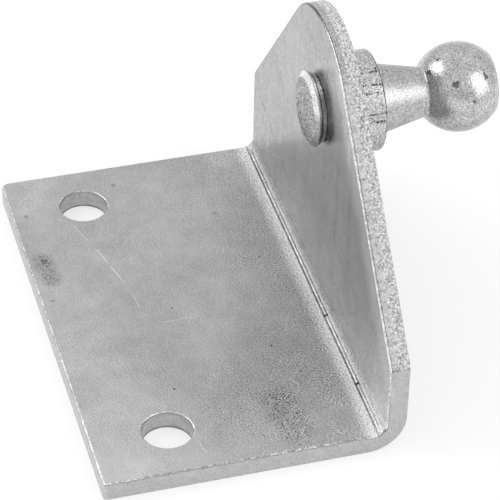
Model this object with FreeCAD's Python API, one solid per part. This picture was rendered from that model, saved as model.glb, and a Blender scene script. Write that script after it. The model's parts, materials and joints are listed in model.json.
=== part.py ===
"""Angle bracket with a riveted ball stud, the end fitting of a gas strut or small linear actuator.

Frame, in millimetres: the origin is midway between the two screw holes on the underside of the base.
+X runs along the bend line, +Y points the way the ball stud points, and +Z is up from the mounting face.
"""
import FreeCAD, Part
import math
import os

Vector = FreeCAD.Vector

# Sheet-steel angle bracket
SHEET_THICKNESS = 2.2
BASE_WIDTH = 52.5            # along the bend line
BASE_DEPTH = 33.0            # from the flange's outer face to the free edge
BEND_INNER_RADIUS = 1.2
BEND_OUTER_RADIUS = 4.2      # larger than the inner radius plus the sheet: the bend is drawn a little thin
EDGE_ROLL = 0.3              # die roll left on the upper side by shearing
HOLE_DIAMETER = 5.5
HOLE_SPACING = 39.5
HOLE_TO_FREE_EDGE = 8.5
HOLE_ROLL = 0.2
BACK_CORNER_RADIUS = 0.9     # base corner on the -X side
FRONT_CORNER_RADIUS = 0.4    # base corner on the +X side
SHOULDER_RADIUS = 0.5        # where the flange's upright ends turn into its slopes

# Outline of the flange; its crown is concentric with the stud
BACK_SHOULDER_HEIGHT = 13.0
FRONT_SHOULDER_HEIGHT = 11.2
CROWN_RADIUS = 11.4
STUD_X = -1.8
STUD_HEIGHT = 25.2

# Line that the press tool's nose coins into the inside of the bend
COIN_ANGLE = 28.0            # round the inner bend from its lower tangent, in degrees
COIN_WIDTH = 0.36
COIN_DEPTH = 0.08

# Ball stud, turned from one bar; distances run along +Y from the flange's outer face
BALL_DIAMETER = 10.0
BALL_CENTRE = 13.8
BALL_FLAT = 3.6              # from the ball's centre to its cut-off end
BALL_FLAT_ROUND = 0.15
COLLAR_DIAMETER = 11.2
COLLAR_THICKNESS = 4.0
COLLAR_ROUND = 0.3
CONE_BASE_DIAMETER = 8.0
NECK_DIAMETER = 5.5
NECK_ROUND = 0.35
SHANK_DIAMETER = 7.4
SHANK_CLEARANCE = 0.02       # left round the shank in its hole

# Upset end of the shank; distances run along -Y from the flange's inner face
UPSET_ROOT_DIAMETER = 7.5
UPSET_RIM_DIAMETER = 8.4
UPSET_RIM_START = 0.9
UPSET_RIM_END = 1.0
UPSET_HEIGHT = 1.45
UPSET_FACE_DIAMETER = 7.0

# Places worked out from the sizes above
FREE_EDGE_Y = -HOLE_TO_FREE_EDGE
FLANGE_OUTER_Y = FREE_EDGE_Y + BASE_DEPTH
FLANGE_INNER_Y = FLANGE_OUTER_Y - SHEET_THICKNESS
FLANGE_TOP_Z = STUD_HEIGHT + CROWN_RADIUS
HALF_WIDTH = BASE_WIDTH / 2
BEND_CENTRE_Y = FLANGE_INNER_Y - BEND_INNER_RADIUS
BEND_CENTRE_Z = SHEET_THICKNESS + BEND_INNER_RADIUS
TOLERANCE = 1e-6
BEYOND = 5.0                 # how far cutting tools run past the metal


def line(start, end):
    return Part.LineSegment(start, end).toShape()


def arc(start, middle, end):
    return Part.Arc(start, middle, end).toShape()


def arc_about(centre, radius, from_degrees, to_degrees, axis_a, axis_b):
    """Arc about centre, from one angle to another, in the plane of two unit vectors."""
    def point(degrees):
        turn = math.radians(degrees)
        return centre + axis_a * (radius * math.cos(turn)) + axis_b * (radius * math.sin(turn))
    return arc(point(from_degrees), point((from_degrees + to_degrees) / 2), point(to_degrees))


def bent_strip():
    """The L section of the bent sheet, swept along the whole width."""
    along_y, along_z = Vector(0, 1, 0), Vector(0, 0, 1)
    x = -HALF_WIDTH

    def at(y, z):
        return Vector(x, y, z)

    outer_centre = at(FLANGE_OUTER_Y - BEND_OUTER_RADIUS, BEND_OUTER_RADIUS)
    inner_centre = at(BEND_CENTRE_Y, BEND_CENTRE_Z)
    edges = [
        line(at(FREE_EDGE_Y, 0), at(FLANGE_OUTER_Y - BEND_OUTER_RADIUS, 0)),
        arc_about(outer_centre, BEND_OUTER_RADIUS, -90, 0, along_y, along_z),
        line(at(FLANGE_OUTER_Y, BEND_OUTER_RADIUS), at(FLANGE_OUTER_Y, FLANGE_TOP_Z)),
        line(at(FLANGE_OUTER_Y, FLANGE_TOP_Z), at(FLANGE_INNER_Y, FLANGE_TOP_Z)),
        line(at(FLANGE_INNER_Y, FLANGE_TOP_Z), at(FLANGE_INNER_Y, BEND_CENTRE_Z)),
        arc_about(inner_centre, BEND_INNER_RADIUS, 0, -90, along_y, along_z),
        line(at(BEND_CENTRE_Y, SHEET_THICKNESS), at(FREE_EDGE_Y, SHEET_THICKNESS)),
        line(at(FREE_EDGE_Y, SHEET_THICKNESS), at(FREE_EDGE_Y, 0)),
    ]
    return Part.Face(Part.Wire(edges)).extrude(Vector(BASE_WIDTH, 0, 0))


def crown_tangent(corner_x, corner_z, side):
    """Angle on the crown, in degrees, where the slope from a shoulder touches it."""
    dx = corner_x - STUD_X
    dz = corner_z - STUD_HEIGHT
    opening = math.degrees(math.acos(CROWN_RADIUS / math.hypot(dx, dz)))
    return math.degrees(math.atan2(dz, dx)) + side * opening


def flange_outline():
    """Everything inside the bracket's outline as seen along the stud, as a solid slab."""
    along_x, along_z = Vector(1, 0, 0), Vector(0, 0, 1)
    y = FREE_EDGE_Y - BEYOND
    centre = Vector(STUD_X, y, STUD_HEIGHT)
    front = crown_tangent(HALF_WIDTH, FRONT_SHOULDER_HEIGHT, 1)
    back = crown_tangent(-HALF_WIDTH, BACK_SHOULDER_HEIGHT, -1) % 360
    crown = arc_about(centre, CROWN_RADIUS, front, back, along_x, along_z)
    crown_front, crown_back = crown.Vertexes[0].Point, crown.Vertexes[1].Point
    corners = [
        Vector(-HALF_WIDTH, y, BACK_SHOULDER_HEIGHT),
        Vector(-HALF_WIDTH, y, -BEYOND),
        Vector(HALF_WIDTH, y, -BEYOND),
        Vector(HALF_WIDTH, y, FRONT_SHOULDER_HEIGHT),
    ]
    path = [crown_back] + corners + [crown_front]
    edges = [line(start, end) for start, end in zip(path, path[1:])]
    return Part.Face(Part.Wire([crown] + edges)).extrude(Vector(0, BASE_DEPTH + 2 * BEYOND, 0))


def edges_where(shape, test):
    """Edges whose middle point passes a test."""
    found = []
    for edge in shape.Edges:
        middle = edge.valueAt((edge.FirstParameter + edge.LastParameter) / 2)
        if test(edge, middle):
            found.append(edge)
    return found


def runs_along(edge, direction):
    span = edge.Vertexes[-1].Point - edge.Vertexes[0].Point
    return span.Length > TOLERANCE and span.cross(direction).Length < TOLERANCE * span.Length


def round_corners(bracket):
    """Round the two free corners of the base and the two shoulders of the flange."""
    upright, across = Vector(0, 0, 1), Vector(0, 1, 0)
    for side, radius in ((-1, BACK_CORNER_RADIUS), (1, FRONT_CORNER_RADIUS)):
        corner = edges_where(bracket, lambda edge, middle: (
            runs_along(edge, upright) and abs(middle.y - FREE_EDGE_Y) < TOLERANCE
            and middle.x * side > 0))
        bracket = bracket.makeFillet(radius, corner)
    for side, height in ((-1, BACK_SHOULDER_HEIGHT), (1, FRONT_SHOULDER_HEIGHT)):
        shoulder = edges_where(bracket, lambda edge, middle: (
            runs_along(edge, across) and abs(middle.z - height) < TOLERANCE
            and abs(middle.x - side * HALF_WIDTH) < TOLERANCE))
        bracket = bracket.makeFillet(SHOULDER_RADIUS, shoulder)
    return bracket


def on_upper_side(point):
    """True on the side of the sheet that is the base's top, the inner bend and the flange's inner face."""
    if point.y > BEND_CENTRE_Y and point.z < BEND_CENTRE_Z:
        reach = math.hypot(point.y - BEND_CENTRE_Y, point.z - BEND_CENTRE_Z)
        return abs(reach - BEND_INNER_RADIUS) < TOLERANCE
    if point.z >= BEND_CENTRE_Z - TOLERANCE:
        return abs(point.y - FLANGE_INNER_Y) < TOLERANCE
    return abs(point.z - SHEET_THICKNESS) < TOLERANCE


def roll_sheared_edges(bracket):
    """Round the upper side's whole rim, which the shear's blade drew down."""
    along = Vector(1, 0, 0)
    rim = edges_where(bracket, lambda edge, middle: on_upper_side(middle) and (
        not runs_along(edge, along) or abs(middle.y - FREE_EDGE_Y) < TOLERANCE))
    return bracket.makeFillet(EDGE_ROLL, rim)


def screw_hole(x):
    """Cutting tool for one screw hole, flared where its upper rim is rolled."""
    radius = HOLE_DIAMETER / 2
    bottom, roll_start, top = -BEYOND, SHEET_THICKNESS - HOLE_ROLL, SHEET_THICKNESS

    def at(reach, z):
        return Vector(x + reach, 0, z)

    flare = arc_about(at(radius + HOLE_ROLL, roll_start), HOLE_ROLL, 180, 90, Vector(1, 0, 0), Vector(0, 0, 1))
    edges = [
        line(at(0, bottom), at(radius, bottom)),
        line(at(radius, bottom), at(radius, roll_start)),
        flare,
        line(at(radius + HOLE_ROLL, top), at(radius + HOLE_ROLL, top + BEYOND)),
        line(at(radius + HOLE_ROLL, top + BEYOND), at(0, top + BEYOND)),
        line(at(0, top + BEYOND), at(0, bottom)),
    ]
    return Part.Face(Part.Wire(edges)).revolve(at(0, 0), Vector(0, 0, 1), 360)


def shank_hole():
    radius = SHANK_DIAMETER / 2 + SHANK_CLEARANCE
    start = Vector(STUD_X, FLANGE_INNER_Y - BEYOND / 2, STUD_HEIGHT)
    return Part.makeCylinder(radius, SHEET_THICKNESS + BEYOND, start, Vector(0, 1, 0))


def coined_line():
    """Shallow channel on the inside of the bend, over its whole length."""
    turn = math.radians(COIN_ANGLE)
    outward = Vector(0, math.sin(turn), -math.cos(turn))
    around = Vector(0, math.cos(turn), math.sin(turn))
    middle = Vector(-HALF_WIDTH - BEYOND, BEND_CENTRE_Y, BEND_CENTRE_Z) + outward * BEND_INNER_RADIUS
    reach = around * (COIN_WIDTH / 2)
    corners = [
        middle - reach - outward * COIN_DEPTH,
        middle + reach - outward * COIN_DEPTH,
        middle + reach + outward * COIN_DEPTH,
        middle - reach + outward * COIN_DEPTH,
    ]
    return Part.Face(Part.makePolygon(corners + corners[:1])).extrude(Vector(BASE_WIDTH + 2 * BEYOND, 0, 0))


def angle_bracket():
    bracket = bent_strip().common(flange_outline()).Solids[0]
    bracket = roll_sheared_edges(round_corners(bracket))
    for side in (-1, 1):
        bracket = bracket.cut(screw_hole(side * HOLE_SPACING / 2))
    return bracket.cut(shank_hole()).cut(coined_line()).Solids[0]


def tangent_round(corner, before, after, radius):
    """Arc of a radius that rounds the corner between two points, and its two ends."""
    to_before = (before - corner).normalize()
    to_after = (after - corner).normalize()
    half = to_before.getAngle(to_after) / 2
    start = corner + to_before * (radius / math.tan(half))
    end = corner + to_after * (radius / math.tan(half))
    centre = corner + (to_before + to_after).normalize() * (radius / math.sin(half))
    middle = centre + (corner - centre).normalize() * radius
    return start, middle, end


def neck_blend(at, ball_radius):
    """Where the cone ends and the ball begins, joined by a hollow round between the two.

    The round's centre lies NECK_ROUND outside the cone's line and NECK_ROUND outside the ball.
    """
    neck = NECK_DIAMETER / 2
    cone_start = at(CONE_BASE_DIAMETER / 2, COLLAR_THICKNESS)
    neck_end = at(neck, BALL_CENTRE - math.sqrt(ball_radius ** 2 - neck ** 2))
    slope = (neck_end - cone_start).normalize()
    outward = Vector(0, -slope.z, slope.y)
    if outward.z < 0:
        outward = outward * -1
    ball_centre = at(0, BALL_CENTRE)
    offset = cone_start + outward * NECK_ROUND - ball_centre
    reach = ball_radius + NECK_ROUND
    along = offset.dot(slope)
    distance = -along - math.sqrt(along ** 2 - offset.dot(offset) + reach ** 2)
    centre = cone_start + outward * NECK_ROUND + slope * distance
    on_cone = centre - outward * NECK_ROUND
    on_ball = centre + (ball_centre - centre).normalize() * NECK_ROUND
    middle_way = ((on_cone - centre) + (on_ball - centre)).normalize()
    return cone_start, on_cone, centre + middle_way * NECK_ROUND, on_ball


def ball_stud():
    """Half section in the plane of Y and a radius along Z, turned about the stud's axis."""
    def at(radius, y):
        return Vector(STUD_X, FLANGE_OUTER_Y + y, STUD_HEIGHT + radius)

    inner = -SHEET_THICKNESS
    ball_radius = BALL_DIAMETER / 2
    flat_radius = math.sqrt(ball_radius ** 2 - BALL_FLAT ** 2)
    collar_radius = COLLAR_DIAMETER / 2
    cone_start, on_cone, blend_middle, on_ball = neck_blend(at, ball_radius)
    near_round = tangent_round(
        at(collar_radius, 0), at(SHANK_DIAMETER / 2, 0), at(collar_radius, COLLAR_THICKNESS), COLLAR_ROUND)
    far_round = tangent_round(
        at(collar_radius, COLLAR_THICKNESS), at(collar_radius, 0), cone_start, COLLAR_ROUND)
    flat_start = at(flat_radius, BALL_CENTRE + BALL_FLAT)
    flat_centre = at(0, BALL_CENTRE + BALL_FLAT)
    ball_top = at(ball_radius, BALL_CENTRE)
    upset = [
        at(0, inner - UPSET_HEIGHT),
        at(UPSET_FACE_DIAMETER / 2, inner - UPSET_HEIGHT),
        at(UPSET_RIM_DIAMETER / 2, inner - UPSET_RIM_END),
        at(UPSET_RIM_DIAMETER / 2, inner - UPSET_RIM_START),
        at(UPSET_ROOT_DIAMETER / 2, inner),
        at(SHANK_DIAMETER / 2, inner),
        at(SHANK_DIAMETER / 2, 0),
        near_round[0],
    ]
    edges = [line(start, end) for start, end in zip(upset, upset[1:])]
    edges += [
        arc(*near_round),
        line(near_round[2], far_round[0]),
        arc(*far_round),
        line(far_round[2], cone_start),
        line(cone_start, on_cone),
        arc(on_cone, blend_middle, on_ball),
        arc(on_ball, ball_top, flat_start),
        line(flat_start, flat_centre),
        line(flat_centre, upset[0]),
    ]
    turned = Part.Face(Part.Wire(edges)).revolve(at(0, 0), Vector(0, 1, 0), 360)
    flat_rim = edges_where(turned, lambda edge, middle: (
        abs(middle.y - flat_start.y) < TOLERANCE and edge.Length > flat_radius * math.pi))
    return turned.makeFillet(BALL_FLAT_ROUND, flat_rim).Solids[0]


def main():
    os.makedirs("parts", exist_ok=True)
    nodes = {"angle_bracket": angle_bracket(), "ball_stud": ball_stud()}
    for name, shape in nodes.items():
        shape.exportStep(f"parts/{name}.step")
        box = shape.BoundBox
        print(name, "valid" if shape.isValid() else "NOT VALID", f"volume {shape.Volume:.1f}",
              f"x {box.XMin:.2f} {box.XMax:.2f} y {box.YMin:.2f} {box.YMax:.2f} z {box.ZMin:.2f} {box.ZMax:.2f}")
    print(f"overlap {nodes['angle_bracket'].common(nodes['ball_stud']).Volume:.4f}")


main()
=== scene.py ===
import json
import math

import bpy
from mathutils import Matrix, Vector


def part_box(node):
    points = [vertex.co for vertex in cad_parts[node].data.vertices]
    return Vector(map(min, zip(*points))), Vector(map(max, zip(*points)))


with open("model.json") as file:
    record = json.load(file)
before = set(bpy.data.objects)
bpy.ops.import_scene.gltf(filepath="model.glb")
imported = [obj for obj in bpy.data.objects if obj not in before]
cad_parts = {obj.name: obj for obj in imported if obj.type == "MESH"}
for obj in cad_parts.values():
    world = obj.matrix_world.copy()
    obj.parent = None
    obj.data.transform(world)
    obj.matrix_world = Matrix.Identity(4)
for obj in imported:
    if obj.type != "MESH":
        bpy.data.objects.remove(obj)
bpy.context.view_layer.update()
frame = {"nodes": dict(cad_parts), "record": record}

# Camera, in degrees and metres, in the row frame.
CAMERA_AZIMUTH = 73.39
CAMERA_ELEVATION = 39.23
CAMERA_ROLL = 1.45
CAMERA_DISTANCE = 0.3038
CAMERA_TARGET = Vector((0.0005, 0.01438, 0.00867))
SENSOR_WIDTH = 36.0
CAMERA_LENS = 197.2

# The sheet, in millimetres, as the CAD has it.
MM = 1000.0
SHEET_THICKNESS = 2.2
BEND_RADIUS = 1.2

mounts = {m["name"]: m for m in frame["record"]["mounts"]}
sheet_low, sheet_high = (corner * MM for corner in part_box("angle_bracket"))
FLANGE_INSIDE = sheet_high.y - SHEET_THICKNESS
BEND_Y = FLANGE_INSIDE - BEND_RADIUS
BEND_Z = SHEET_THICKNESS + BEND_RADIUS
SHOULDER_Z = 11.0
CREASE_TURN = 28.0
CREASE_HALF = 8.6
CREASE_NICKS = (6.2, 17.9)
BURNISHED_DEPTH = 0.90
HOLE_RADIUS = mounts["base_holes"]["dims"]["hole_r_mm"]
HOLE_PLACES = [Vector(mounts[name]["pos_m"]) * MM for name in ("screw_hole_back", "screw_hole_front")]

# The stud, in millimetres. COLLAR_FRONT is along its axis from the ball's centre.
BALL_CENTRE = Vector(mounts["ball"]["pos_m"]) * MM
BALL_RADIUS = mounts["ball"]["dims"]["r_mm"]
COLLAR_RADIUS = 5.6
COLLAR_FRONT = -9.8
UPSET_BEVEL = 0.80
UPSET_FACE_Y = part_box("ball_stud")[0].y * MM
UPSET_RIM_Y = UPSET_FACE_Y + UPSET_BEVEL

# The finest grain of both metals, in noise cells to the millimetre.
GRAIN_SCALE = 5.0

# The studio, in metres, degrees and watts. A softbox is (name, azimuth, elevation, (width, height), power).
FLOOR_HALF = 3.0
FLOOR_COLOUR = 0.42
FLOOR_GLOW = 0.60
ROOM_AT_HORIZON = 0.75
ROOM_OVERHEAD = 0.9
SOFTBOX_DISTANCE = 0.8
SOFTBOXES = (
    ("left_softbox", -28.0, 32.0, (0.45, 0.62), 1.9),
    ("right_softbox", 140.0, 27.0, (0.42, 0.62), 1.5),
)

# Marks of use. On the base: (start, end, width, strength) in X and Y; a speck is (place, radius, strength).
BASE_SCRATCHES = (
    ((-11.8, -0.4), (-5.0, 1.3), 0.10, 1.0),
    ((-2.9, 1.7), (-0.4, 1.95), 0.10, 0.8),
    ((-16.4, -1.9), (-13.4, -1.0), 0.16, 0.4),
    ((2.7, 3.4), (2.7, 7.5), 0.11, 0.5),
    ((15.1, 14.9), (16.6, 15.6), 0.09, 0.9),
    ((22.4, 2.7), (24.1, 3.1), 0.10, 0.6),
)
BASE_SPECKS = (
    ((-22.7, 4.3), 0.22, 0.55),
    ((-5.7, 17.4), 0.10, 0.8),
    ((9.5, 14.4), 0.10, 0.8),
    ((14.3, 16.4), 0.10, 0.7),
    ((0.6, 5.4), 0.10, 0.7),
    ((-3.9, -7.2), 0.12, 0.6),
    ((-14.6, 14.5), 0.30, 0.3),
    ((13.7, 2.3), 0.10, 0.9),
    ((21.9, -1.0), 0.10, 0.7),
    ((-19.4, -6.9), 0.20, 0.5),
    ((-10.9, -6.6), 0.30, 0.5),
)
SMUDGE = ((-11.2, -6.8), (-7.4, -6.5), 1.6)
WORN_PATCH = ((18.5, 12.7), (23.9, 13.3), 2.8)
# On the flange's inner face, in X and Z: its sloping front border, and a place beside the stud, are painted
# lighter, as painted sheen.
SHEEN_SLOPE = ((26.2, 11.2), (6.6, 32.9), 4.5)
SHEEN_PLACE = (4.0, 30.0)
DRAW_MARK = ((-23.3, 11.3), (-12.0, 8.3), 0.5)
FLANGE_SCRATCHES = (
    ((6.6, 8.4), (7.0, 7.7), 0.10, 0.8),
    ((10.8, 11.7), (10.9, 11.1), 0.10, 0.8),
    ((9.4, 6.3), (9.5, 5.4), 0.10, 0.6),
    ((14.2, 10.5), (14.4, 9.8), 0.10, 0.7),
    ((21.0, 10.4), (22.7, 4.0), 0.10, 0.5),
)
# On the ball, a direction from its centre and a half angle in degrees.
BALL_PITS = (
    ((0.72, -0.31, 0.62), 4.5),
    ((0.64, 0.40, 0.65), 4.5),
    ((0.05, -0.51, 0.86), 2.5),
    ((0.20, -0.76, 0.62), 4.0),
    ((0.25, 0.36, 0.90), 2.5),
    ((0.96, 0.06, 0.27), 3.0),
)
# On the collar, an angle in degrees and a strength.
COLLAR_MARKS = ((11.0, 1.0), (16.0, 0.4), (20.0, 0.6), (44.0, 0.7), (53.0, 1.0), (69.0, 0.8))


class Shader:
    """One material's node tree, and short ways to add to it. Lengths inside it are millimetres."""

    def __init__(self, name):
        self.material = bpy.data.materials.new(name)
        self.material.use_nodes = True
        self.tree = self.material.node_tree
        self.tree.nodes.clear()
        coordinates = self.tree.nodes.new("ShaderNodeTexCoord")
        self.normal = coordinates.outputs["Normal"]
        self.place = self.vector("SCALE", coordinates.outputs["Object"], scale=MM)
        self.x, self.y, self.z = self.split(self.place)

    def feed(self, socket, value):
        if isinstance(value, bpy.types.NodeSocket):
            self.tree.links.new(value, socket)
        else:
            socket.default_value = value

    def math(self, operation, a, b=0.0, c=0.0):
        made = self.tree.nodes.new("ShaderNodeMath")
        made.operation = operation
        for socket, value in zip(made.inputs, (a, b, c)):
            self.feed(socket, value)
        return made.outputs[0]

    def vector(self, operation, a, b=None, scale=None):
        made = self.tree.nodes.new("ShaderNodeVectorMath")
        made.operation = operation
        self.feed(made.inputs[0], a)
        if b is not None:
            self.feed(made.inputs[1], b)
        if scale is not None:
            self.feed(made.inputs["Scale"], scale)
        return made.outputs["Value"] if operation in ("LENGTH", "DOT_PRODUCT") else made.outputs["Vector"]

    def split(self, vector):
        made = self.tree.nodes.new("ShaderNodeSeparateXYZ")
        self.feed(made.inputs[0], vector)
        return made.outputs[0], made.outputs[1], made.outputs[2]

    def join(self, x, y, z):
        made = self.tree.nodes.new("ShaderNodeCombineXYZ")
        for socket, value in zip(made.inputs, (x, y, z)):
            self.feed(socket, value)
        return made.outputs[0]

    def ramp(self, value, low, high, at_low=0.0, at_high=1.0):
        """value's smooth step from low to high, as at_low to at_high. Low may be above high."""
        made = self.tree.nodes.new("ShaderNodeMapRange")
        made.interpolation_type = "SMOOTHSTEP"
        if low > high:
            low, high, at_low, at_high = high, low, at_high, at_low
        for name, number in (("From Min", low), ("From Max", high), ("To Min", at_low), ("To Max", at_high)):
            made.inputs[name].default_value = number
        self.feed(made.inputs["Value"], value)
        return made.outputs[0]

    def band(self, value, centre, half_width, soft):
        """1 where value is within half_width of centre, falling to 0 over soft."""
        apart = self.math("ABSOLUTE", self.math("SUBTRACT", value, centre))
        return self.ramp(apart, half_width + soft, half_width)

    def noise(self, vector, scale, detail=2.0, roughness=0.5, distortion=0.0):
        """Noise from 0 to 1 about 0.5, with scale cells to the millimetre."""
        made = self.tree.nodes.new("ShaderNodeTexNoise")
        made.inputs["Scale"].default_value = scale
        made.inputs["Detail"].default_value = detail
        made.inputs["Roughness"].default_value = roughness
        made.inputs["Distortion"].default_value = distortion
        self.feed(made.inputs["Vector"], vector)
        return made.outputs["Fac"]

    def swing(self, noise, amount):
        """Noise turned into a signed change of up to amount."""
        made = self.tree.nodes.new("ShaderNodeMapRange")
        limits = {"From Min": 0.28, "From Max": 0.72, "To Min": -amount, "To Max": amount}
        for name, number in limits.items():
            made.inputs[name].default_value = number
        self.feed(made.inputs["Value"], noise)
        return made.outputs[0]

    def total(self, *values):
        found = values[0]
        for value in values[1:]:
            found = self.math("ADD", found, value)
        return found

    def product(self, *values):
        found = values[0]
        for value in values[1:]:
            found = self.math("MULTIPLY", found, value)
        return found

    def mix(self, share, a, b):
        """a where share is 0 and b where it is 1."""
        made = self.tree.nodes.new("ShaderNodeMix")
        made.data_type = "FLOAT"
        for name, value in (("Factor", share), ("A", a), ("B", b)):
            self.feed(made.inputs[name], value)
        return made.outputs["Result"]

    def segment(self, flat, start, end, width):
        """1 on the straight scratch from start to end, two points of the flat vector's own space."""
        a = Vector((*start, 0.0))
        run = Vector((*end, 0.0)) - a
        offset = self.vector("SUBTRACT", flat, a)
        along = self.math("DIVIDE", self.vector("DOT_PRODUCT", offset, run), run.length_squared)
        held = self.math("MINIMUM", self.math("MAXIMUM", along, 0.0), 1.0)
        nearest = self.vector("SCALE", tuple(run), scale=held)
        apart = self.vector("LENGTH", self.vector("SUBTRACT", offset, nearest))
        return self.ramp(apart, width, width * 0.3)

    def spot(self, flat, centre, radius, soft):
        """1 in the round spot at centre, a point of the flat vector's own space."""
        apart = self.vector("LENGTH", self.vector("SUBTRACT", flat, (*centre, 0.0)))
        return self.ramp(apart, radius + soft, radius)

    def wander(self, vector, scale, amount):
        """An offset that drifts about zero by up to amount."""
        made = self.tree.nodes.new("ShaderNodeTexNoise")
        made.inputs["Scale"].default_value = scale
        self.feed(made.inputs["Vector"], vector)
        centred = self.vector("SUBTRACT", made.outputs["Color"], (0.5, 0.5, 0.5))
        return self.vector("SCALE", centred, scale=amount)

    def pit(self, unit, direction, size):
        """1 in the round pit of that half angle in degrees about a direction from the ball's centre."""
        near = self.vector("DOT_PRODUCT", unit, tuple(Vector(direction).normalized()))
        inner, outer = (math.cos(math.radians(share * size)) for share in (0.5, 1.3))
        return self.ramp(near, outer, inner)

    def finish(self, shade, roughness, height):
        """Ends the tree as a metal whose reflectance is shade, with height in millimetres."""
        bump = self.tree.nodes.new("ShaderNodeBump")
        bump.inputs["Distance"].default_value = 1.0 / MM
        self.feed(bump.inputs["Height"], height)
        colour = self.join(shade, shade, shade)
        metal = self.tree.nodes.new("ShaderNodeBsdfPrincipled")
        metal.inputs["Metallic"].default_value = 1.0
        self.feed(metal.inputs["Base Color"], colour)
        self.feed(metal.inputs["Roughness"], roughness)
        self.feed(metal.inputs["Normal"], bump.outputs[0])
        output = self.tree.nodes.new("ShaderNodeOutputMaterial")
        self.tree.links.new(metal.outputs[0], output.inputs["Surface"])
        return self.material


def sheet_layout(s):
    """Depth below the sheet's inner side in mm, turn round the bend in degrees, and how squarely a face
    looks out of the sheet: 1 on its broad faces and 0 on its cut edges."""
    across = s.math("MAXIMUM", s.math("SUBTRACT", s.y, BEND_Y), 0.0)
    down = s.math("MAXIMUM", s.math("SUBTRACT", BEND_Z, s.z), 0.0)
    out_of_bend = s.join(0.0, across, s.math("MULTIPLY", down, -1.0))
    depth = s.math("SUBTRACT", s.vector("LENGTH", out_of_bend), BEND_RADIUS)
    turn = s.math("DEGREES", s.math("ARCTAN2", across, down))
    facing = s.math("ABSOLUTE", s.vector("DOT_PRODUCT", s.vector("NORMALIZE", out_of_bend), s.normal))
    return depth, turn, facing


def crease_marks(s, depth, turn, grain):
    """The coined crease, as (painted shade along its two edge lines and the nicks across it, the burnished
    smeared band beside it lightened further by painted sheen, with a painted highlight on the strip between
    the lines).
    """
    inner = s.ramp(depth, 0.4, 0.25)
    inside_ends = s.ramp(s.math("ABSOLUTE", s.x), sheet_high.x - 0.9, sheet_high.x - 1.9)
    lines = s.total(*(s.band(turn, CREASE_TURN + side * CREASE_HALF, 2.0, 3.5) for side in (-1, 1)))
    uneven = s.ramp(s.noise(s.place, 0.5, detail=3.0), 0.3, 0.6, 0.6, 1.0)
    nicks = s.total(*(s.band(s.x, place, 0.09, 0.14) for place in CREASE_NICKS))
    nicks = s.product(nicks, s.band(turn, CREASE_TURN, CREASE_HALF + 2.0, 4.0))
    dark = s.math("MINIMUM", s.total(s.product(lines, uneven, inside_ends), s.product(nicks, 1.6)), 1.6)
    # The burnished smear beside the crease, lightened further as painted sheen; a painted highlight on the
    # strip between the crease lines.
    smear_and_sheen_edge = s.math("ADD", s.y, s.swing(grain, 0.28))
    smear_and_sheen = s.product(s.ramp(smear_and_sheen_edge, BEND_Y - 1.5, BEND_Y + 0.1), s.ramp(turn, 15.0, 8.0))
    highlight_stripe = s.ramp(s.noise(s.place, 0.7, detail=3.0), 0.4, 0.6, 0.1, 0.6)
    highlight_stripe = s.product(highlight_stripe, s.band(turn, CREASE_TURN - 1.0, 2.0, 3.0))
    return s.product(dark, inner), s.product(s.math("MAXIMUM", smear_and_sheen, highlight_stripe), inner)


def sheet_marks(s, flat, upright):
    """Marks of the base top and the flange's inner face, as (light scratches, dark specks and smudge)."""
    top = s.product(s.ramp(s.z, 1.9, 2.1), s.ramp(s.y, BEND_Y, BEND_Y - 0.3))
    inside = s.ramp(s.y, FLANGE_INSIDE + 0.3, FLANGE_INSIDE + 0.1)
    breaks = s.ramp(s.noise(s.place, 1.3, detail=2.0), 0.30, 0.50, 0.25, 1.0)
    light = s.total(*(s.product(s.segment(flat, *ends), share) for *ends, share in BASE_SCRATCHES))
    dashes = s.total(*(s.product(s.segment(upright, *ends), share) for *ends, share in FLANGE_SCRATCHES))
    dashes = s.product(dashes, inside, s.ramp(s.z, BEND_Z, BEND_Z + 0.3))
    dark = s.total(*(s.product(s.spot(flat, at, size, 0.12), share) for at, size, share in BASE_SPECKS))
    dots = s.ramp(s.noise(s.place, 7.5, detail=1.0), 0.45, 0.60, 0.15, 1.0)
    dark = s.total(dark, s.product(s.segment(flat, *SMUDGE), dots, 0.8))
    return s.total(s.product(light, breaks, top), dashes), s.product(dark, top)


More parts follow.
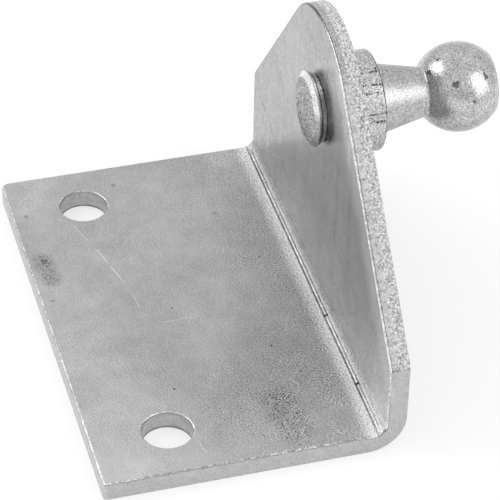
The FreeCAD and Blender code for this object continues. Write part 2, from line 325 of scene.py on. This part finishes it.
def broad_faces(s, depth, turn, flange):
    """The sheet's two broad sides, cloudy satin zinc, as (shade, roughness, height)."""
    flat = s.join(s.x, s.y, 0.0)
    upright = s.join(s.x, s.z, 0.0)
    inside = s.ramp(depth, 0.6, 0.3)
    on_base = s.math("SUBTRACT", 1.0, flange)
    to_bend = s.product(s.ramp(s.y, BEND_Y - 12.0, BEND_Y - 2.0), on_base)
    to_free_edge = s.product(s.ramp(s.y, 3.0, -6.0), on_base)
    to_front = s.product(s.ramp(s.x, 15.0, 26.0), on_base)
    # Painted shade inside the bend, past the crease.
    past_crease_shade = s.band(turn, 64.0, 8.0, 16.0)
    low_on_flange = s.product(s.ramp(s.z, 14.0, 4.5), s.ramp(turn, 60.0, 80.0), inside)
    # Painted reflection: the flange's inner face is lighter towards its front end, low down.
    front_sheen = s.product(s.ramp(s.x, 13.0, 25.0), s.ramp(s.z, 17.0, 6.0), s.ramp(turn, 55.0, 75.0))
    # Painted sheen along the flange's sloping front border and beside the stud.
    painted_sheen = s.product(s.spot(upright, SHEEN_PLACE, 1.0, 5.0), 0.14)
    painted_sheen = s.math("MAXIMUM", s.product(s.segment(upright, *SHEEN_SLOPE), 0.26), painted_sheen)

    clouds = s.noise(s.place, 0.10, detail=3.0, distortion=0.6)
    mottle = s.noise(s.place, 0.55, detail=4.0, roughness=0.65)
    grain = s.noise(s.place, GRAIN_SCALE, detail=2.0, roughness=0.8)
    dots = s.ramp(s.noise(s.place, 4.6, detail=2.0, roughness=0.7), 0.53, 0.64)
    patches = s.ramp(s.noise(s.place, 0.16, detail=2.0), 0.42, 0.66)
    ragged = s.ramp(s.noise(s.place, 0.9, detail=3.0, roughness=0.7), 0.30, 0.55)
    worn = s.product(s.segment(flat, *WORN_PATCH), ragged, on_base)
    around_worn = s.product(s.spot(flat, WORN_PATCH[0], 3.0, 9.0), on_base)
    tall = s.vector("MULTIPLY", s.place, (0.75, 0.3, 0.035))
    streaks = s.product(s.swing(s.noise(tall, 1.0, detail=5.0, roughness=0.65), 1.0), flange)
    draw_mark = s.product(s.segment(upright, *DRAW_MARK), flange, inside)
    crease_shade_and_nicks, smear_and_sheen = crease_marks(s, depth, turn, grain)
    light_marks, dark_marks = sheet_marks(s, flat, upright)

    patchy = s.ramp(s.noise(s.place, 0.35, detail=3.0), 0.35, 0.65, 0.25, 1.2)
    grain_share = s.total(
        s.mix(flange, 0.9, 0.8),
        s.product(patches, 0.4),
        s.product(to_bend, 1.2, patchy),
        s.product(low_on_flange, 0.8),
        s.product(around_worn, 1.5, patchy),
        s.product(worn, 1.2),
    )
    shade = s.total(
        # Painted shade: the flange is given a darker tone than the base, which tones down its reflection of
        # the bright floor.
        s.mix(flange, 0.475, 0.39),
        s.product(s.swing(clouds, 0.055), s.mix(inside, 0.5, 1.0)),
        s.product(s.swing(mottle, 0.045), s.mix(inside, 0.5, 1.0)),
        s.product(s.swing(grain, 0.13), grain_share),
        s.product(streaks, s.mix(inside, 0.02, 0.060)),
        s.product(to_free_edge, 0.06),
        s.product(to_front, 0.08),
        # Painted shade inside the bend, past the crease.
        s.product(past_crease_shade, -0.07),
        # Painted light: the flange's inner face is lighter low down near the bend.
        s.product(low_on_flange, 0.05),
        # Painted reflection towards the flange's front end, low down.
        s.product(front_sheen, inside, 0.32),
        # Painted sheen on the flange's inner face, along its sloping front border and beside the stud.
        s.product(painted_sheen, flange, inside),
        s.product(worn, -0.12),
        s.product(dots, s.total(s.product(worn, 1.5), around_worn, s.product(to_bend, 0.4)), -0.10),
        s.product(draw_mark, -0.05),
        s.product(light_marks, 0.24),
        s.product(dark_marks, -0.32),
        # The burnished smear, lightened further as painted sheen, and the painted highlight between the
        # crease lines.
        s.product(smear_and_sheen, 0.42),
        s.product(smear_and_sheen, s.swing(grain, 0.32)),
        # Painted shade along the crease's two edge lines, and the dark nicks across it.
        s.product(crease_shade_and_nicks, -0.33),
    )
    roughness = s.total(
        s.mix(flange, 0.33, 0.22),
        s.swing(clouds, 0.03),
        s.product(streaks, 0.05),
        s.product(smear_and_sheen, 0.18),
        s.product(dark_marks, 0.15),
    )
    height = s.total(
        s.product(s.swing(grain, 0.008), grain_share),
        s.swing(mottle, 0.005),
        s.product(light_marks, -0.006),
        s.product(draw_mark, -0.006),
    )
    return s.math("MAXIMUM", shade, 0.03), roughness, height


def cut_edges(s, depth, outline, holes):
    """The sheared edges, burnished next to the punched side and torn past that on the flange's outline, as
    (shade, roughness, height)."""
    wavy = s.swing(s.noise(s.place, 0.8, detail=3.0), 0.08)
    past = s.math("SUBTRACT", depth, s.math("ADD", BURNISHED_DEPTH, wavy))
    torn = s.product(s.ramp(past, -0.06, 0.10), outline)
    along = s.vector("MULTIPLY", s.join(s.x, depth, s.z), (2.4, 0.5, 2.4))
    drag = s.noise(along, 1.0, detail=3.0)
    mottle = s.noise(s.place, 0.9, detail=4.0, roughness=0.7)
    grain = s.noise(s.place, GRAIN_SCALE, detail=2.0, roughness=0.8)
    crumbs = s.noise(s.place, 3.6, detail=4.0, roughness=0.85)
    free_edge = s.ramp(s.y, sheet_low.y + 0.5, sheet_low.y + 0.1)
    # Painted shade at the lower lip of the holes.
    hole_lip_shade = s.product(s.ramp(s.z, 0.40, 0.10), holes)
    shoulder_line = s.product(s.band(s.z, SHOULDER_Z, 0.03, 0.10), s.ramp(depth, 0.0, 0.3))

    shade = s.total(
        0.50,
        s.product(s.swing(drag, 0.10), outline),
        s.product(s.swing(drag, 0.05), holes),
        s.swing(mottle, 0.05),
        s.product(s.swing(grain, 0.15), s.total(0.6, outline)),
        s.product(free_edge, 0.06),
        # Painted shade on the hole walls, darker still at their lower lip.
        s.product(holes, -0.04),
        s.product(hole_lip_shade, -0.22),
    )
    shade = s.mix(torn, shade, s.total(0.65, s.swing(crumbs, 0.52), s.swing(grain, 0.34)))
    shade = s.total(shade, s.product(shoulder_line, -0.26))
    roughness = s.mix(torn, 0.42, 0.60)
    smooth = s.total(s.product(s.swing(drag, 0.006), outline), s.swing(mottle, 0.004))
    return s.math("MAXIMUM", shade, 0.05), roughness, s.mix(torn, smooth, s.swing(crumbs, 0.04))


def plated_sheet():
    """Satin zinc-plated sheet: cloudy faces, drawn streaks on the flange, sheared edges, worn rolled edges
    with painted highlights and painted shade.
    """
    s = Shader("plated_sheet")
    depth, turn, facing = sheet_layout(s)
    edge = s.ramp(facing, 0.5, 0.3)
    roll = s.product(s.ramp(facing, 0.3, 0.5), s.ramp(facing, 0.985, 0.9))
    flange = s.ramp(s.z, BEND_Z - 0.6, BEND_Z + 0.6)
    outline = s.ramp(s.z, SHOULDER_Z - 0.2, SHOULDER_Z)
    flat = s.join(s.x, s.y, 0.0)
    holes = s.total(*(s.spot(flat, place[:2], HOLE_RADIUS + 0.25, 0.1) for place in HOLE_PLACES))
    face_shade, face_roughness, face_height = broad_faces(s, depth, turn, flange)
    edge_shade, edge_roughness, edge_height = cut_edges(s, depth, outline, holes)

    # Painted light and shade on the rolled edges: towards +X, along the free edge and round the holes they
    # carry a painted highlight; elsewhere they are painted darker.
    free_edge = s.ramp(s.y, sheet_low.y + 1.2, sheet_low.y + 0.8)
    lit = s.math("MAXIMUM", free_edge, holes)
    lit = s.math("MAXIMUM", s.ramp(s.x, -6.0, 4.0), lit)
    chipped = s.ramp(s.noise(s.place, 2.2, detail=3.0, roughness=0.7), 0.42, 0.60)
    burr = s.product(s.band(facing, 0.38, 0.10, 0.12), s.math("MAXIMUM", chipped, s.product(outline, 0.8)))
    roll_light_and_shade = s.total(
        s.swing(chipped, 0.12),
        s.product(outline, 0.26),
        s.product(free_edge, 0.12),
        s.product(holes, 0.20),
        -0.10,
    )
    roll_light_and_shade = s.product(roll, s.mix(lit, -0.22, roll_light_and_shade))
    shade = s.total(s.mix(edge, face_shade, edge_shade), roll_light_and_shade, s.product(burr, -0.32))
    return s.finish(
        s.math("MAXIMUM", shade, 0.03),
        s.mix(edge, face_roughness, edge_roughness),
        s.mix(edge, face_height, edge_height),
    )


def stud_marks(s, away, unit, angle, on_rim, grain):
    """Marks of use on the stud, as (the ball's pits, its scratches, the collar's marks and chips)."""
    bent = s.vector("NORMALIZE", s.vector("ADD", away, s.wander(s.place, 1.6, 1.3)))
    pits = s.total(*(s.pit(bent, direction, size) for direction, size in BALL_PITS))
    pits = s.product(pits, s.ramp(grain, 0.40, 0.52, 0.35, 1.0))
    slant = s.join(
        s.vector("DOT_PRODUCT", unit, (2.5, 12.0, 5.0)),
        s.vector("DOT_PRODUCT", unit, (0.9, -0.5, 0.7)),
        0.0,
    )
    scratches = s.product(
        s.ramp(s.noise(slant, 1.0, detail=3.0, roughness=0.7), 0.60, 0.66),
        s.ramp(s.noise(s.place, 0.7, detail=2.0), 0.48, 0.58),
    )
    marks = s.total(*(s.product(s.band(angle, place, 0.6, 1.2), share) for place, share in COLLAR_MARKS))
    marks = s.product(marks, s.ramp(s.noise(s.place, 1.6, detail=3.0, roughness=0.7), 0.40, 0.56))
    chips = s.ramp(s.noise(s.place, 2.3, detail=4.0, roughness=0.7), 0.58, 0.66)
    chips = s.product(chips, s.ramp(angle, 32.0, 42.0), s.ramp(angle, 95.0, 70.0))
    return pits, scratches, s.product(s.math("MAXIMUM", marks, chips), on_rim)


def turned_steel():
    """Bright turned steel: turning lines, a scuffed ball with pits, a mottled collar and a pressed end."""
    s = Shader("turned_steel")
    away = s.vector("SUBTRACT", s.place, tuple(BALL_CENTRE))
    side, along, rise = s.split(away)
    unit = s.vector("NORMALIZE", away)
    radius = s.vector("LENGTH", s.join(side, 0.0, rise))
    angle = s.math("DEGREES", s.math("ARCTAN2", rise, side))
    on_ball = s.ramp(s.vector("LENGTH", away), BALL_RADIUS + 0.25, BALL_RADIUS + 0.05)
    on_rim = s.product(s.ramp(radius, COLLAR_RADIUS - 0.5, COLLAR_RADIUS - 0.2), s.ramp(along, -8.0, -9.0))
    on_upset = s.ramp(s.y, FLANGE_INSIDE + 0.1, FLANGE_INSIDE - 0.1)
    on_face = s.ramp(s.y, UPSET_FACE_Y + 0.10, UPSET_FACE_Y + 0.02)
    collar_line = s.product(s.band(along, COLLAR_FRONT - 0.05, 0.06, 0.16), on_rim)
    # Painted shade in the groove at the upset's rim and in the root where the upset meets the flange.
    rim_shade_line = s.band(s.y, UPSET_RIM_Y, 0.09, 0.07)
    root_shade_line = s.product(s.band(s.y, FLANGE_INSIDE, 0.03, 0.10), s.ramp(radius, 3.0, 3.4))
    # Painted highlight on the upper part of the upset's bevel, painted shade on its lower part.
    bevel_light_and_shade = s.product(s.ramp(s.y, UPSET_RIM_Y, UPSET_RIM_Y - 0.06), s.ramp(rise, 0.6, 2.2, -0.4, 1.0))
    # Painted shade on the stud's underside, below the ball's centre.
    underside_shade = s.ramp(rise, 0.0, -4.0)

    rings = s.join(s.math("MULTIPLY", along, 4.5), s.math("MULTIPLY", radius, 4.5), 0.0)
    lines = s.noise(rings, 1.0, detail=4.0, roughness=0.7)
    broken = s.ramp(s.noise(s.place, 0.5, detail=3.0), 0.35, 0.6)
    mottle = s.noise(s.place, 0.9, detail=4.0, roughness=0.65)
    grain = s.noise(s.place, GRAIN_SCALE, detail=2.0, roughness=0.8)
    scuffs = s.product(s.swing(lines, 1.0), broken)
    dents = s.product(on_face, s.ramp(s.noise(s.place, 2.2, detail=4.0, roughness=0.75), 0.53, 0.62))
    pits, scratches, marks = stud_marks(s, away, unit, angle, on_rim, grain)
    pits = s.product(pits, on_ball)
    scratches = s.product(scratches, on_ball, s.ramp(along, 3.4, 3.0))
    grain_share = s.total(2.1, s.product(on_rim, 1.4), s.product(on_face, 1.5), s.product(on_ball, 0.4))

    shade = s.total(
        s.mix(on_ball, 0.48, 0.52),
        s.product(scuffs, 0.08),
        s.swing(mottle, 0.07),
        # Painted shade on the stud's underside, below the ball's centre.
        s.product(underside_shade, -0.20),
        s.product(on_rim, 0.08),
        # Painted highlight on the upper part of the upset's bevel, painted shade on its lower part.
        s.product(bevel_light_and_shade, s.mix(on_face, 0.30, 0.0)),
        s.product(s.swing(grain, 0.12), grain_share),
        s.product(on_face, -0.04),
        s.product(pits, -0.50),
        s.product(scratches, -0.22),
        s.product(marks, -0.45),
        s.product(dents, -0.36),
        # Painted shade in the root where the upset meets the flange and in the groove at the upset's rim;
        # also a dark line along the collar's front edge.
        s.product(s.total(collar_line, rim_shade_line, root_shade_line), -0.34),
    )
    roughness = s.mix(on_ball, s.total(0.36, s.swing(grain, 0.05)), s.total(0.17, s.swing(mottle, 0.06)))
    roughness = s.mix(on_upset, roughness, s.mix(on_face, 0.16, 0.48))
    roughness = s.total(roughness, s.product(s.math("MAXIMUM", pits, marks), 0.3))
    height = s.total(
        s.product(scuffs, 0.005),
        s.product(s.swing(grain, 0.002), grain_share),
        s.product(s.swing(mottle, 0.008), on_ball),
        s.product(pits, -0.03),
        s.product(scratches, -0.01),
        s.product(marks, -0.03),
        s.product(dents, -0.04),
    )
    return s.finish(s.math("MAXIMUM", shade, 0.03), roughness, height)


def put_on(node, material):
    """Gives a CAD node's one slot this material."""
    frame["nodes"][node].material_slots[0].material = material


def add_floor():
    """A plain pale floor that reaches far past the view, and gives out some light of its own."""
    mesh = bpy.data.meshes.new("floor")
    signs = ((-1, -1), (1, -1), (1, 1), (-1, 1))
    corners = [(x * FLOOR_HALF, y * FLOOR_HALF, 0.0) for x, y in signs]
    mesh.from_pydata(corners, [], [(0, 1, 2, 3)])
    floor = bpy.data.objects.new("floor", mesh)
    bpy.context.scene.collection.objects.link(floor)
    material = bpy.data.materials.new("floor")
    material.use_nodes = True
    paint = material.node_tree.nodes["Principled BSDF"]
    paint.inputs["Base Color"].default_value = (FLOOR_COLOUR, FLOOR_COLOUR, FLOOR_COLOUR, 1.0)
    paint.inputs["Roughness"].default_value = 0.9
    paint.inputs["Specular IOR Level"].default_value = 0.0
    paint.inputs["Emission Color"].default_value = (1.0, 1.0, 1.0, 1.0)
    paint.inputs["Emission Strength"].default_value = FLOOR_GLOW
    mesh.materials.append(material)


def view_axes(azimuth, elevation, roll=0.0):
    """Right, up and back of a camera, for angles in degrees. Azimuth 0 looks along +Y."""
    a = math.radians(azimuth)
    e = math.radians(elevation)
    r = math.radians(roll)
    back = Vector((math.sin(a) * math.cos(e), -math.cos(a) * math.cos(e), math.sin(e)))
    right = Vector((math.cos(a), math.sin(a), 0.0))
    up = back.cross(right)
    return right * math.cos(r) + up * math.sin(r), up * math.cos(r) - right * math.sin(r), back


def place_looking(obj, azimuth, elevation, distance, target, roll=0.0):
    """Puts a camera or lamp at that angle and distance from the target, looking at it."""
    right, up, back = view_axes(azimuth, elevation, roll)
    turn = Matrix((right, up, back)).transposed().to_4x4()
    obj.matrix_world = Matrix.Translation(target + back * distance) @ turn
    bpy.context.scene.collection.objects.link(obj)


def add_camera():
    data = bpy.data.cameras.new("camera")
    data.sensor_width = SENSOR_WIDTH
    data.lens = CAMERA_LENS
    data.clip_start = 0.01
    data.clip_end = 20.0
    camera = bpy.data.objects.new("camera", data)
    place_looking(camera, CAMERA_AZIMUTH, CAMERA_ELEVATION, CAMERA_DISTANCE, CAMERA_TARGET, CAMERA_ROLL)
    bpy.context.scene.camera = camera


def add_softbox(name, azimuth, elevation, size, power):
    data = bpy.data.lights.new(name, "AREA")
    data.shape = "RECTANGLE"
    data.size, data.size_y = size
    data.energy = power
    lamp = bpy.data.objects.new(name, data)
    place_looking(lamp, azimuth, elevation, SOFTBOX_DISTANCE, CAMERA_TARGET)


def add_surroundings():
    """A bright even studio: a pale room, a little darker towards the horizon."""
    world = bpy.data.worlds.new("studio")
    bpy.context.scene.world = world
    world.use_nodes = True
    tree = world.node_tree
    coordinates = tree.nodes.new("ShaderNodeTexCoord")
    axes = tree.nodes.new("ShaderNodeSeparateXYZ")
    tree.links.new(coordinates.outputs["Generated"], axes.inputs[0])
    rise = tree.nodes.new("ShaderNodeMapRange")
    rise.interpolation_type = "SMOOTHSTEP"
    limits = {"From Min": 0.0, "From Max": 0.8, "To Min": ROOM_AT_HORIZON, "To Max": ROOM_OVERHEAD}
    for name, number in limits.items():
        rise.inputs[name].default_value = number
    tree.links.new(axes.outputs[2], rise.inputs["Value"])
    background = tree.nodes["Background"]
    tree.links.new(rise.outputs[0], background.inputs["Strength"])
    background.inputs["Color"].default_value = (1.0, 1.0, 1.0, 1.0)


put_on("angle_bracket", plated_sheet())
put_on("ball_stud", turned_steel())
add_floor()
add_surroundings()
for softbox in SOFTBOXES:
    add_softbox(*softbox)
add_camera()
bpy.context.scene.view_settings.view_transform = "Standard"
